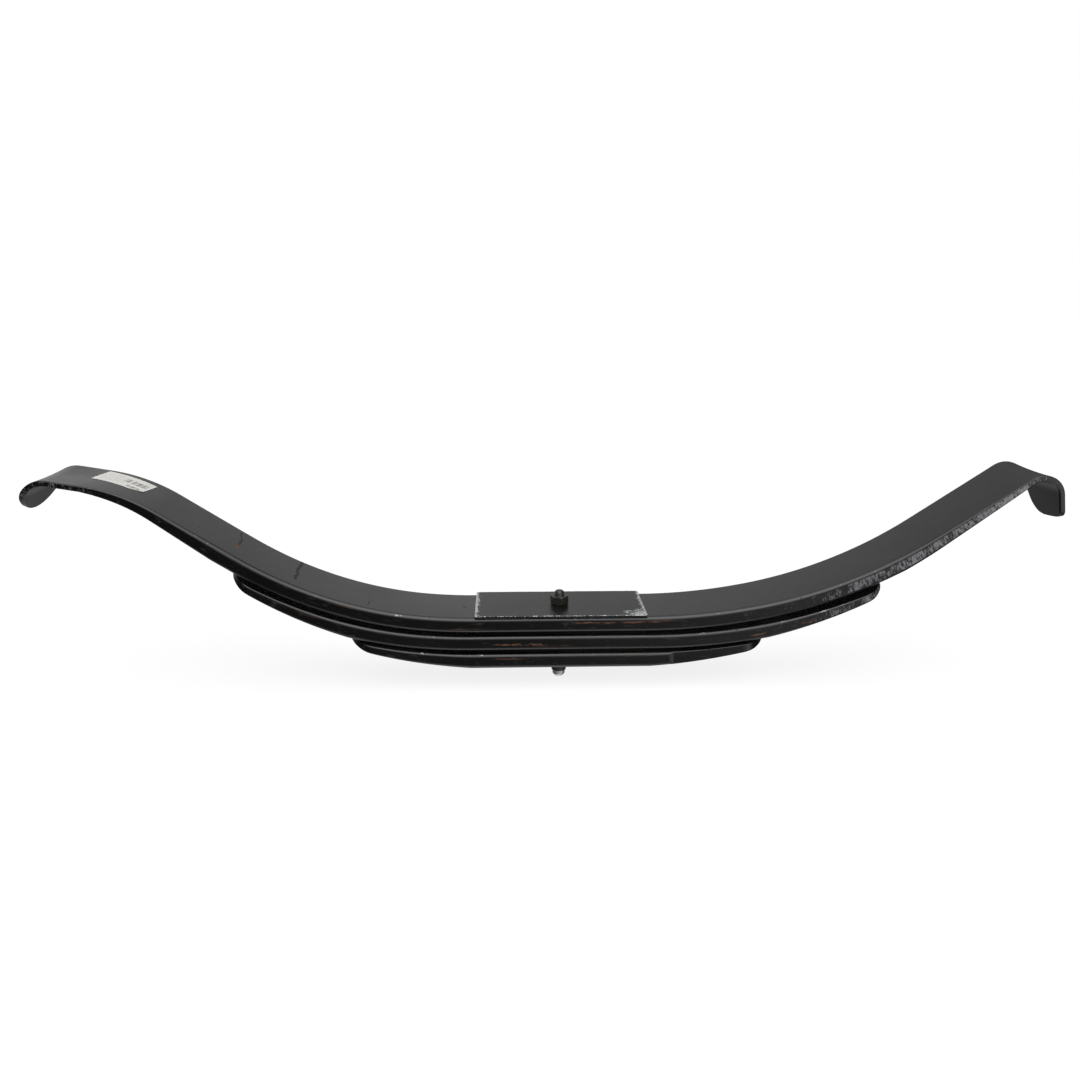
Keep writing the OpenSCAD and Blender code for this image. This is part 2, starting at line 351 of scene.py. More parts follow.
def armLine(run):
    # the heading goes evenly through each stretch, and the place is the running sum of its direction
    lengths = np.array([length for length, turn in run])
    turns = np.radians([turn for length, turn in run])
    knots = np.concatenate([[-seatHalf, 0], np.cumsum(lengths)])
    headings = np.concatenate([[0, 0], np.cumsum(turns)])
    s = np.arange(-seatHalf, knots[-1] + 1e-9, 0.0001)
    s = np.append(s, knots[-1])
    h = np.interp(s, knots, headings)
    middle = (h[1:] + h[:-1]) / 2
    step = np.diff(s)
    x = np.concatenate([[0], np.cumsum(np.cos(middle) * step)])
    z = mainTop + np.concatenate([[0], np.cumsum(np.sin(middle) * step)])
    return {"s": s, "x": x, "z": z, "h": h, "end": knots[-1]}


def onArm(line, s, y, depth, side):
    # the point at the distance s along the arm, y across it and depth below the main leaf's top
    x = np.interp(s, line["s"], line["x"])
    z = np.interp(s, line["s"], line["z"])
    h = np.interp(s, line["s"], line["h"])
    return np.stack([side * (x + depth * np.sin(h)), y, z - depth * np.cos(h)], -1)


def ramp(s, start, end, low, high):
    # low up to start, then evenly to high at end
    return low + (high - low) * np.clip((s - start) / (end - start), 0, 1)


def leafDepths(which, side):
    # functions of s for the depth of a leaf's top and underside below the main leaf's top
    c = leafShape
    taper = c["leftTaperEnd"] if side < 0 else c["rightTaperEnd"]
    gap = c["leftGap"] if side < 0 else c["rightGap"]
    main = lambda s: ramp(s, c["mainFull"], taper, fullThick, c["mainTipThick"])
    second = lambda s: main(s) + ramp(s, 0, c["secondArm"], liner, gap)
    secondLow = lambda s: second(s) + ramp(s, c["secondFull"], c["secondArm"], fullThick,
                                           c["secondTipThick"])
    third = lambda s: secondLow(s) + ramp(s, 0, c["thirdArm"], liner, c["thirdGap"])
    thirdLow = lambda s: third(s) + ramp(s, c["thirdFull"], c["thirdArm"], fullThick,
                                         c["thirdTipThick"])
    zero = lambda s: 0 * s
    return {"main": (zero, main), "second": (second, secondLow), "third": (third, thirdLow)}[which]


def tipCurve(points, rounding):
    # one edge of a tip from its straight part to the middle of its end: the corner is rounded, the
    # curve set in by the edge rounding, and cut into even rows that all end at the same place
    c = edgeSet
    path = roundedProfile(points, rounding)
    gaps = np.concatenate([[0], np.cumsum(np.linalg.norm(np.diff(path, axis=0), axis=1))])
    fine = np.linspace(0, gaps[-1], 1600)
    path = np.stack([np.interp(fine, gaps, path[:, i]) for i in (0, 1)], 1)
    run = np.gradient(path, axis=0)
    soft = np.ones(61) / 61
    run = np.stack([np.convolve(np.pad(run[:, i], 30, mode="edge"), soft, "valid") for i in (0, 1)], 1)
    run /= np.linalg.norm(run, axis=1)[:, None]
    normal = np.stack([-run[:, 1], run[:, 0]], 1)
    path = path - c["cornerRadius"] * normal
    t = np.linspace(0, 1, c["tipRows"]) * (len(fine) - 1)
    rows = [np.interp(t, np.arange(len(fine)), column) for column in (*path.T, *normal.T)]
    for row, value in zip(rows, (points[-1][0] - c["cornerRadius"], points[-1][1], 1, 0)):
        row[-1] = value
    return rows


def tipOutline(end, depth, cut=None):
    # both edges of a leaf's plan, row by row: distance, place across, and the outward normal
    c = edgeSet
    start = end - c["tipZone"]
    big = (halfWidth ** 2 + depth ** 2) / (2 * depth)
    arc = np.linspace(math.asin(halfWidth / big), 0, 30)
    tip = [(end - depth, halfWidth)]
    tip += [(s, y) for s, y in zip(end - big + big * np.cos(arc), big * np.sin(arc))
            if math.hypot(s - end + depth, y - halfWidth) > c["tipCorner"]]
    near = tipCurve([(start, halfWidth)] + tip, [0, c["tipCorner"]] + [0] * (len(tip) - 1))
    far = near
    if cut:
        # the far corner is cut at a slant, and its end meets the near part past the middle
        middle = -0.009
        inset = halfWidth - cut[1]
        far = tipCurve([(start, halfWidth), (end - cut[0], halfWidth), (end - 0.15 * cut[0], inset),
                        (end - 0.0006, halfWidth - 1.5 * cut[1]), (end, middle)],
                       [0, 0.016, 0.009, 0.004, 0])
        tip = [(s, y) for s, y in tip if y > -middle] + [(end, -middle)]
        near = tipCurve([(start, halfWidth)] + tip, [0, c["tipCorner"]] + [0] * (len(tip) - 1))
    s = np.arange(-seatHalf, start - c["rowStep"] / 2, c["rowStep"])
    flat = (s, 0 * s + halfWidth - c["cornerRadius"], 0 * s, 0 * s + 1)
    join = lambda edge: np.stack([np.concatenate(pair) for pair in zip(flat, edge)])
    near, far = join(near), join(far)
    near[[1, 3]] *= -1
    return near[:, :, None], far[:, :, None]


def crossColumns():
    # one turn round a leaf's section: side of the middle, how far in from the edge (in edge radii),
    # how deep (0 top, 1 underside), drop from there (in edge radii), and 1 on the round edges
    across = np.array([-1, -0.985, -0.93, -0.75, -0.45, -0.15, 0.15, 0.45, 0.75, 0.93, 0.985, 1])
    turn = np.radians([0, 15, 30, 45, 60, 75, 90])
    wall = np.array([0.06, 0.3, 0.7, 0.94])
    zero = 0 * across
    top = np.stack([across, zero + 1, zero, zero, zero], 1)
    edge = np.stack([np.ones(7), 1 - np.sin(turn), np.zeros(7), 1 - np.cos(turn),
                     np.sin(2 * turn)], 1)[1:]
    down = np.stack([np.ones(4), np.zeros(4), wall, 1 - 2 * wall, np.zeros(4)], 1)
    under = edge[::-1].copy()
    under[:, 2] = 1
    under[:, 3] *= -1
    half = np.concatenate([edge, down, under])
    low = top[::-1].copy()
    low[:, 2] = 1
    back = half[::-1].copy()
    back[:, 0] = -1
    return np.concatenate([top, half, low, back])


# keeps the marks on one leaf unlike those on the next
patternShift = {"main": 0.0, "second": 0.31, "third": 0.67}


def leafHalf(name, which, side, tipRound, cut=None):
    # half a leaf: every row runs from the near edge to the far edge, bent onto the arm
    c = edgeSet
    line = armLine(leafShape["leftRun"] if side < 0 else leafShape["rightRun"])
    end = {"main": line["end"], "second": leafShape["secondArm"], "third": leafShape["thirdArm"]}[which]
    topDepth, lowDepth = leafDepths(which, side)
    near, far = tipOutline(end, tipRound, cut)
    across, inset, low, drop, edge = (column[None, :] for column in crossColumns().T)
    share = (across + 1) / 2
    s0 = near[0] * (1 - share) + far[0] * share
    y0 = near[1] * (1 - share) + far[1] * share
    thick = lowDepth(s0) - topDepth(s0)
    # the thin ends are nearly square, and the full thickness has well rounded edges
    radius = ramp(thick, c["thinAt"], fullThick, c["thinRadius"], c["edgeRadius"])
    if which == "third" and side > 0:  # past its side's step the edges are nearly sharp
        radius = radius * (1 - 0.6 * np.clip((s0 - c["thirdStepAt"]) / 0.0008, 0, 1))
    # inside the outline the outward shift fades from the one edge's direction to the other's
    out = (c["cornerRadius"] - radius * inset) * np.abs(across) ** 6
    s = s0 + out * np.where(across > 0, far[2], near[2])
    y = y0 + out * np.where(across > 0, far[3], near[3])
    depth = (1 - low) * topDepth(s) + low * lowDepth(s) + radius * drop
    if which == "third" and side > 0:  # its side steps back a little past the seat
        y = y - np.sign(y) * c["thirdStep"] * np.clip((s - c["thirdStepAt"]) / 0.0008, 0, 1)
    if which == "main":  # the hooks' bends lift the edges a little
        bend = np.exp(-((s - (end - 0.050)) / 0.026) ** 2)
        depth = depth - c["cupHeight"] * bend * ((y / halfWidth) ** 2 - 0.4)
    place = onArm(line, s, y, depth, side).reshape(-1, 3)
    n, m = s.shape
    faces = gridFaces(n, m, wrapColumns=True) + [list(range(m))]
    wall = np.where(np.abs(across) == 1, 1 - edge, 0) * (drop != 0) * np.ones_like(s)
    attributes = {"edge": edge * np.ones_like(s), "wall": wall, "along": side * (s + seatHalf),
                  "across": y, "deep": depth - topDepth(s) + patternShift[which]}
    return newPiece(name, place, faces, attributes)


leafPieces = {
    "main_leaf_left": leafHalf("main_leaf_left", "main", -1, leafShape["leftLipRound"]),
    "main_leaf_right": leafHalf("main_leaf_right", "main", 1, leafShape["rightLipRound"],
                                (leafShape["rightCutLength"], leafShape["rightCutWidth"])),
    "second_leaf_left": leafHalf("second_leaf_left", "second", -1, leafShape["leafTipRound"]),
    "second_leaf_right": leafHalf("second_leaf_right", "second", 1, leafShape["leafTipRound"]),
    "third_leaf_left": leafHalf("third_leaf_left", "third", -1, leafShape["leafTipRound"]),
    "third_leaf_right": leafHalf("third_leaf_right", "third", 1, leafShape["leafTipRound"]),
}
print("leaves made")


# ---- pad and liners ----
plateSet = {"edge": 0.0005, "corner": 0.0015, "wave": 0.00012, "linerSetBack": 0.005}


def plate(name, low, high, setBack):
    # a closed thin plate: rings of its outline, rounded at both faces, filled in the middle
    c = plateSet
    hx, hy = (high.x - low.x) / 2, (high.y - low.y) / 2 - setBack
    perSide, perCorner = 24, 5
    r = c["corner"]
    turn = np.linspace(0, math.pi / 2, perCorner)
    centres = [(hx - r, hy - r), (-hx + r, hy - r), (-hx + r, -hy + r), (hx - r, -hy + r)]
    outline, normals = [], []
    for i, (px, py) in enumerate(centres):
        a = turn + i * math.pi / 2
        outline.append(np.stack([px + 0 * a, py + 0 * a], 1))
        normals.append(np.stack([np.cos(a), np.sin(a)], 1))
        qx, qy = centres[(i + 1) % 4]
        t = np.linspace(0, 1, perSide + 1)[1:-1, None]
        outline.append(np.array([[px, py]]) * (1 - t) + np.array([[qx, qy]]) * t)
        normals.append(np.repeat(normals[-1][-1:], perSide - 1, 0))
    outline, normals = np.concatenate(outline), np.concatenate(normals)
    # the sheared edge wanders in and out a little along its length
    walk = np.arange(len(outline)) * 0.61
    r = r - c["wave"] * (1 + np.sin(walk) * np.sin(walk * 0.37 + 1))
    e = c["edge"]
    arc = np.linspace(0, math.pi / 2, 4)
    thick = high.z - low.z
    insets = np.concatenate([[e] * 5, e * (1 - np.sin(arc)), (e * (1 - np.sin(arc)))[::-1], [e] * 5])
    shrink = np.array([0.03, 0.4, 0.8, 0.95, 0.985] + [1] * 8 + [0.985, 0.95, 0.8, 0.4, 0.03])
    drops = np.concatenate([[0] * 5, e * (1 - np.cos(arc)), thick - (e * (1 - np.cos(arc)))[::-1],
                            [thick] * 5])
    xy = outline[None] + (r[None, :, None] - insets[:, None, None]) * normals[None]
    xy = xy * shrink[:, None, None]
    z = np.repeat((high.z - drops)[:, None], len(outline), 1)
    verts = np.concatenate([xy, z[..., None]], -1).reshape(-1, 3)
    rings, count = len(insets), len(outline)
    faces = gridFaces(rings, count, wrapColumns=True)
    faces += [list(range(count)), list(range((rings - 1) * count, rings * count))]
    return newPiece(name, verts, faces)


platePieces = {
    "top_pad_plate": plate("top_pad_plate", padLow, padHigh, 0.0),
    "upper_liner_plate": plate("upper_liner_plate", upperLow, upperHigh, plateSet["linerSetBack"]),
    "lower_liner_plate": plate("lower_liner_plate", lowerLow, lowerHigh, plateSet["linerSetBack"]),
}
print("pad and liners made")


# ---- centre bolt and nut ----
boltSet = {
    "shank": 0.005,
    "collar": 0.00775,
    "collarHeight": 0.017,
    "pilot": 0.0066,
    "pitch": 0.0015,
    "threadDepth": 0.00065,
    "threadLength": 0.022,
    "endChamfer": 0.0014,
    "segments": 72,
}


def boltHead(c):
    # the collar and the pilot below it, with worn corners, as one turned profile
    low, under = boltLow.z, -c["collarHeight"]
    points = [(0, low), (c["pilot"] - 0.0022, low), (c["pilot"], low + 0.0026), (c["pilot"], under),
              (c["collar"], under - 0.0002), (c["collar"], 0), (c["shank"], 0), (c["shank"], mainTop),
              (0, mainTop)]
    radii = [0, 0.0011, 0.0012, 0.0002, 0.0008, 0.0004, 0, 0, 0]
    return revolve("centre_bolt_head", roundedProfile(points, radii), c["segments"])


def boltThread(c):
    # radius less a ridge wave that climbs one pitch a turn, fading out at the chamfered end
    top = boltHigh.z
    z = np.linspace(top - c["threadLength"], top, 120)[:, None]
    angle = (np.arange(c["segments"]) * 2 * np.pi / c["segments"])[None, :]
    phase = z / c["pitch"] - angle / (2 * np.pi)
    ridge = np.abs(2 * (phase - np.floor(phase)) - 1)
    radius = c["shank"] - c["threadDepth"] * np.clip(1.25 * ridge - 0.12, 0, 1)
    radius = np.minimum(radius, c["shank"] - c["endChamfer"] + (top - z))
    rows = np.stack([radius * np.cos(angle), radius * np.sin(angle), z + 0 * angle], -1)
    n, m = radius.shape
    verts = np.concatenate([rows.reshape(-1, 3), [[0, 0, top], [0, 0, z[0, 0]]]])
    faces = gridFaces(n, m, wrapColumns=True)
    faces += [[(n - 1) * m + k, (n - 1) * m + (k + 1) % m, n * m] for k in range(m)]
    faces += [[(k + 1) % m, k, n * m + 1] for k in range(m)]
    return newPiece("centre_bolt_end", verts, faces)


nutSet = {"acrossFlats": 0.017, "turn": 13.0, "bore": 0.00505, "segments": 144, "softness": 0.00018}


def hexNut(c):
    # the flats' distance, capped by a cone at both faces, then over the faces and down the bore
    low, high = nutLow.z, nutHigh.z
    flat = c["acrossFlats"] / 2
    angle = np.arange(c["segments"]) * 2 * np.pi / c["segments"]
    facet = (angle - math.radians(c["turn"] - 90)) % (math.pi / 3) - math.pi / 6
    hexagon = flat / np.cos(facet)
    z = np.concatenate([np.linspace(0, 0.0018, 9), np.linspace(0.0026, high - low - 0.0026, 5),
                        np.linspace(high - low - 0.0018, high - low, 9)])
    cone = flat * 0.985 + np.minimum(z, high - low - z) / math.tan(math.radians(30))
    a, b = hexagon[None, :], cone[:, None]
    soft = c["softness"]
    wall = (a + b) / 2 - np.sqrt((a - b) ** 2 / 4 + soft ** 2)
    bore = c["bore"]
    faceIn = np.array([0.8, 0.4, 0.12])
    rim = wall[-1]
    over = [(bore + (rim - bore) * f, high + 0 * angle) for f in faceIn]
    over += [(bore + 0.0004 + 0 * angle, high + 0 * angle), (bore + 0 * angle, high - 0.0005 + 0 * angle)]
    over += [(bore + 0 * angle, low + 0.0005 + 0 * angle), (bore + 0.0004 + 0 * angle, low + 0 * angle)]
    radius = np.concatenate([wall, np.stack([r for r, h in over])])
    height = np.concatenate([np.repeat(low + z[:, None], len(angle), 1), np.stack([h for r, h in over])])
    verts = np.stack([radius * np.cos(angle), radius * np.sin(angle), height], -1).reshape(-1, 3)
    faces = gridFaces(len(radius), len(angle), wrapColumns=True, wrapRows=True)
    return newPiece("centre_nut_hex", verts, faces)


boltPieces = {"head": boltHead(boltSet), "end": boltThread(boltSet), "nut": hexNut(nutSet)}
print("bolt and nut made")


# ---- label ----
labelSet = {
    "length": 0.0512,
    "width": 0.0352,
    "at": 0.3812,
    "side": 0.011,
    "turn": 7.0,
    "thick": 0.00018,
    "lift": 0.00006,
    "tear": 0.16,
    "columns": 60,
    "rows": 44,
}


def paperLabel(c):
    # a turned rectangle laid on the left arm; one corner is torn off along a ragged line
    u, v = np.meshgrid(np.linspace(0, 1, c["columns"]), np.linspace(0, 1, c["rows"]))
    ragged = c["tear"] * (1 + 0.12 * np.sin(17 * u) + 0.08 * np.sin(41 * u + 1))
    corner = np.clip((u - 0.72) / 0.28, 0, 1)
    v = v + (1 - v) * ragged * corner ** 1.6
    p = (u - 0.5) * c["length"]
    q = (v - 0.5) * c["width"]
    a = math.radians(c["turn"])
    s = c["at"] - (p * math.cos(a) + q * math.sin(a))
    y = c["side"] - p * math.sin(a) + q * math.cos(a)
    line = armLine(leafShape["leftRun"])
    curl = 0.0005 * np.clip((u - 0.8) / 0.2, 0, 1) ** 2 * np.clip((0.4 - v) / 0.4, 0, 1)
    top = onArm(line, s, y, -(c["lift"] + c["thick"] + curl), -1)
    low = onArm(line, s, y, -(c["lift"] + curl), -1)
    rows, columns = u.shape
    verts = np.concatenate([top.reshape(-1, 3), low.reshape(-1, 3)])
    count = rows * columns
    faces = gridFaces(rows, columns)
    faces += [[count + i for i in reversed(f)] for f in gridFaces(rows, columns)]
    index = np.arange(count).reshape(rows, columns)
    ring = np.concatenate([index[0, :-1], index[:-1, -1], index[-1, :0:-1], index[:0:-1, 0]])
    nxt = np.roll(ring, -1)
    faces += np.stack([ring, ring + count, nxt + count, nxt], 1).tolist()
    uv = np.stack([np.tile(u.ravel(), 2), np.tile(v.ravel(), 2)], 1)
    return newPiece("paper_label", verts, faces, uv=uv)


labelPiece = paperLabel(labelSet)
print("label made")


# ---- materials ----
def newGroup(name, inputs, outputs):
    # an empty shader group with named number or vector inputs and number outputs
    tree = bpy.data.node_groups.new(name, "ShaderNodeTree")
    for key, kind, value in inputs:
        socket = tree.interface.new_socket(key, in_out="INPUT", socket_type=kind)
        if value is not None:
            socket.default_value = value
    for key, kind in outputs:
        tree.interface.new_socket(key, in_out="OUTPUT", socket_type=kind)
    t = Tree(tree)
    return t, t.add("NodeGroupInput").outputs, t.add("NodeGroupOutput").inputs


def edgeWearGroup():
    # worn where the edge value plus a patchy noise passes a limit that the amount lowers
    t, given, result = newGroup("edgeWear", [("Place", "NodeSocketVector", None),
                                             ("Edge", "NodeSocketFloat", 0.0),
                                             ("Amount", "NodeSocketFloat", 0.5),
                                             ("Scale", "NodeSocketFloat", 90.0)],
                                [("Mask", "NodeSocketFloat")])
    coarse = t.noise(given["Place"], given["Scale"], 3.0)
    size = t.math("MULTIPLY", given["Scale"], 6.0)
    fine = t.noise(given["Place"], size, 5.0, 0.7)
    patchy = t.math("ADD", t.math("MULTIPLY", coarse, 0.6), t.math("MULTIPLY", fine, 0.4))
    value = t.math("ADD", patchy, t.math("MULTIPLY", given["Edge"], 0.35))
    limit = t.math("SUBTRACT", 1.12, t.math("MULTIPLY", given["Amount"], 0.5))
    above = t.math("SUBTRACT", value, limit)
    t.set(result["Mask"], t.step(above, 0.0, 0.05))
    return t.tree


def streakGroup():
    # long thin scratches: a noise that is stretched along the leaf, kept only where it peaks
    t, given, result = newGroup("streaks", [("Place", "NodeSocketVector", None),
                                            ("Fineness", "NodeSocketFloat", 40.0),
                                            ("Amount", "NodeSocketFloat", 0.5)],
                                [("Mask", "NodeSocketFloat")])
    long = t.stretch(given["Place"], (0.12, 1.0, 1.6))
    lines = t.noise(long, t.math("MULTIPLY", given["Fineness"], 9.0), 3.0, 0.6)
    patches = t.noise(given["Place"], given["Fineness"], 2.0)
    both = t.math("ADD", t.math("MULTIPLY", lines, 0.6), t.math("MULTIPLY", patches, 0.4))
    limit = t.math("SUBTRACT", 0.72, t.math("MULTIPLY", given["Amount"], 0.2))
    t.set(result["Mask"], t.step(t.math("SUBTRACT", both, limit), 0.0, 0.06))
    return t.tree


def grainGroup():
    # fine height for sprayed paint or rough steel, and a slow change that tints and dulls it
    t, given, result = newGroup("grain", [("Place", "NodeSocketVector", None),
                                          ("Size", "NodeSocketFloat", 900.0)],
                                [("Height", "NodeSocketFloat"), ("Cloud", "NodeSocketFloat")])
    fine = t.noise(given["Place"], given["Size"], 4.0, 0.6)
    wide = t.noise(given["Place"], t.math("MULTIPLY", given["Size"], 0.02), 4.0, 0.6)
    t.set(result["Height"], t.math("ADD", t.math("MULTIPLY", fine, 0.5), t.math("MULTIPLY", wide, 0.5)))
    t.set(result["Cloud"], wide)
    return t.tree


edgeWear, streaks, grain = edgeWearGroup(), streakGroup(), grainGroup()


def newMaterial(name):
    material = bpy.data.materials.new(name)
    material.use_nodes = True
    t = Tree(material.node_tree)
    t.tree.nodes.clear()
    place = t.add("ShaderNodeTexCoord").outputs["Object"]
    return material, t, place


def useGroup(t, tree, **values):
    node = t.add("ShaderNodeGroup", node_tree=tree)
    for key, value in values.items():
        t.set(node.inputs[key], value)
    return node.outputs


def finishMaterial(t, colour, rough, metal, height, bump, specular, distance=0.0004):
    normal = t.add("ShaderNodeBump", {"Height": height, "Strength": bump, "Distance": distance})
    shader = t.add("ShaderNodeBsdfPrincipled", {"Base Color": colour, "Roughness": rough,
                                                "Metallic": metal, "Normal": normal.outputs[0],
                                                "Specular IOR Level": specular})
    t.add("ShaderNodeOutputMaterial", {"Surface": shader.outputs[0]})


leafPaintSet = {
    "paint": (0.002, 0.002, 0.0022, 1),
    "dusty": (0.012, 0.0118, 0.0115, 1),
    "metal": (0.30, 0.30, 0.32, 1),
    "rust": (0.12, 0.050, 0.020, 1),
    "edgeAmount": 0.36,
    # lines across the leaf: place along, slope, from, to, half width, how rusty at the near end
    "marks": [(-0.276, -0.075, -0.022, 0.037, 0.0024, 0.0), (-0.341, -0.15, -0.018, 0.032, 0.0016, 0.9),
              (-0.19, 0.3, -0.03, -0.012, 0.001, 0.0)],
    # rust lines on the near sides: leaf, from, to, depth in the side, half width
    "rustLines": [("main", 0.006, 0.108, 0.0052, 0.0011), ("second", -0.072, -0.004, 0.0086, 0.0012),
                  ("second", 0.186, 0.214, 0.0095, 0.0014), ("second", 0.228, 0.262, 0.0080, 0.0010),
                  ("main", 0.320, 0.338, 0.0050, 0.0012)],
    "specular": 0.5,
    "roughness": 0.27,
}


def leafPaint(c):
    # satin black paint; dust and streaks on it, bare metal on scuffs and edges, a little rust; the dust is
    # kept off the sides, so the sides are painted darker as shade
    material, t, place = newMaterial("leafPaint")
    field = lambda name: t.add("ShaderNodeAttribute", attribute_name=name).outputs["Fac"]
    edge, wall, along, across = (field(name) for name in ("edge", "wall", "along", "across"))
    flat = t.add("ShaderNodeCombineXYZ", {0: along, 1: across, 2: field("deep")}).outputs[0]
    body = useGroup(t, grain, Place=place, Size=700.0)
    worn = useGroup(t, edgeWear, Place=flat, Edge=edge, Amount=c["edgeAmount"], Scale=70.0)["Mask"]
    lines = useGroup(t, streaks, Place=flat, Fineness=30.0, Amount=0.42)["Mask"]
    # the near side of the right arm is scuffed to metal in short strokes, most of all by the hook,
    # and the left hook is scuffed a little
    reach = t.step(along, 0.19, 0.36, 0.10, 1.0)
    reach = t.math("MULTIPLY", reach, t.step(along, 0.165, 0.215))
    reach = t.math("MULTIPLY", reach, t.step(along, 0.53, 0.49))
    reach = t.math("MAXIMUM", reach, t.step(along, -0.43, -0.50, 0.0, 0.55))
    strokes = t.noise(t.stretch(flat, (1.0, 1.0, 0.33)), 640.0, 4.0, 0.65)
    groups = t.noise(t.stretch(flat, (1.0, 1.0, 0.5)), 75.0, 3.0)
    strokes = t.math("ADD", t.math("MULTIPLY", strokes, 0.65), t.math("MULTIPLY", groups, 0.35))
    limit = t.math("MULTIPLY_ADD", reach, -0.20, 0.62)
    scuffed = t.step(t.math("SUBTRACT", strokes, limit), 0.0, 0.13)
    middle = t.step(t.math("ABSOLUTE", t.math("SUBTRACT", wall, 1.0)), 0.5, 0.1)
    scuffed = t.math("MULTIPLY", t.math("MULTIPLY", scuffed, middle), t.step(reach, 0.0, 0.05))
    scuffed = t.math("MULTIPLY", scuffed, 0.66)
    # rust creeps along the sides of the seat
    nearSeat = t.math("MULTIPLY", t.step(t.math("ABSOLUTE", along), 0.36, 0.20), wall)
    rustPatch = t.step(t.noise(t.stretch(flat, (0.14, 1, 3.4), (3, 1, 2)), 70.0, 5.0, 0.65), 0.60, 0.70)
    rusted = t.math("MULTIPLY", t.math("MULTIPLY", nearSeat, rustPatch), 0.55)
    broken = t.step(t.noise(t.stretch(flat, (0.5, 1, 1), (7, 2, 4)), 220.0, 4.0, 0.6), 0.38, 0.60)
    sway = t.math("MULTIPLY_ADD", t.noise(t.stretch(flat, (1, 0, 1), (2, 0, 0)), 60.0, 2.0), 0.003, -0.0015)
    for leaf, start, stop, depth, width in c["rustLines"]:
        off = t.math("ADD", t.math("SUBTRACT", field("deep"), depth + patternShift[leaf]), sway)
        thin = t.step(t.math("ABSOLUTE", off), width, width * 0.35)
        kept = t.math("MULTIPLY", t.step(along, start, start + 0.012), t.step(along, stop, stop - 0.012))
        thin = t.math("MULTIPLY", t.math("MULTIPLY", thin, kept), t.math("MULTIPLY", broken, wall))
        rusted = t.math("MAXIMUM", rusted, thin)
    # fine pale rubs that run along the sides everywhere
    rub = useGroup(t, streaks, Place=flat, Fineness=75.0, Amount=0.70)["Mask"]
    rub = t.math("MULTIPLY", t.math("MULTIPLY", rub, wall), 0.07)
    # dark pits and bruises in the paint of the top
    pits = t.step(t.noise(t.stretch(flat, (0.8, 1.3, 1), (5, 0, 0)), 130.0, 2.0, 0.4), 0.73, 0.78)
    wander = t.math("MULTIPLY_ADD", t.noise(flat, 55.0, 3.0), 0.012, -0.006)
    for start, slope, low, high, width, rustShare in c["marks"]:
        off = t.math("MULTIPLY_ADD", across, -slope, t.math("SUBTRACT", along, start))
        off = t.math("ABSOLUTE", t.math("ADD", off, wander))
        kept = t.math("MULTIPLY", t.step(across, low, low + 0.006), t.step(across, high, high - 0.006))
        thin = t.math("MULTIPLY", t.step(off, width, width * 0.3), kept)
        pits = t.math("MAXIMUM", pits, thin)
        rusty = t.math("MULTIPLY", thin, t.step(across, low + 0.020, low + 0.010, 0.0, rustShare))
        rusted = t.math("MAXIMUM", rusted, rusty)
    dustAndSideShade = t.step(t.math("ADD", body["Cloud"], t.math("MULTIPLY", lines, 0.25)), 0.42, 0.75)
    # dust lies mostly on the tops: leaving it off the sides is painted shade that keeps the side faces near
    # black
    dustAndSideShade = t.math("MULTIPLY", dustAndSideShade, t.math("MULTIPLY_ADD", wall, -0.85, 1.0))
    colour = t.mix(t.math("MULTIPLY", dustAndSideShade, 0.8), c["paint"], c["dusty"])
    colour = t.mix(rusted, colour, c["rust"])
    bare = t.math("MAXIMUM", t.math("MULTIPLY", worn, 0.7), t.math("MAXIMUM", scuffed, rub))
    colour = t.mix(bare, colour, c["metal"])
    rough = t.math("MULTIPLY_ADD", dustAndSideShade, 0.12, c["roughness"])
    rough = t.math("MULTIPLY_ADD", rusted, 0.35, rough)
    rough = t.math("MULTIPLY_ADD", pits, 0.40, rough)
    height = t.math("SUBTRACT", body["Height"], t.math("MULTIPLY", bare, 0.5))
    height = t.math("SUBTRACT", height, t.math("MULTIPLY", pits, 0.8))
    finishMaterial(t, colour, rough, t.math("MULTIPLY", bare, 0.6), height, 0.35, c["specular"])
    return material


padPaintSet = {
    "paint": (0.002, 0.002, 0.0022, 1),
    "dusty": (0.017, 0.017, 0.017, 1),
    "metal": (0.50, 0.51, 0.51, 1),
    "wet": (0.002, 0.002, 0.002, 1),
    "sideWear": 0.27,
    "sideFade": 38.0,
    "frontWear": 0.165,
    "frontFade": 50.0,
    "cornerWear": 0.25,
    "cornerFade": 9.0,
    "roughness": 0.35,
    "specular": 0.5,
}


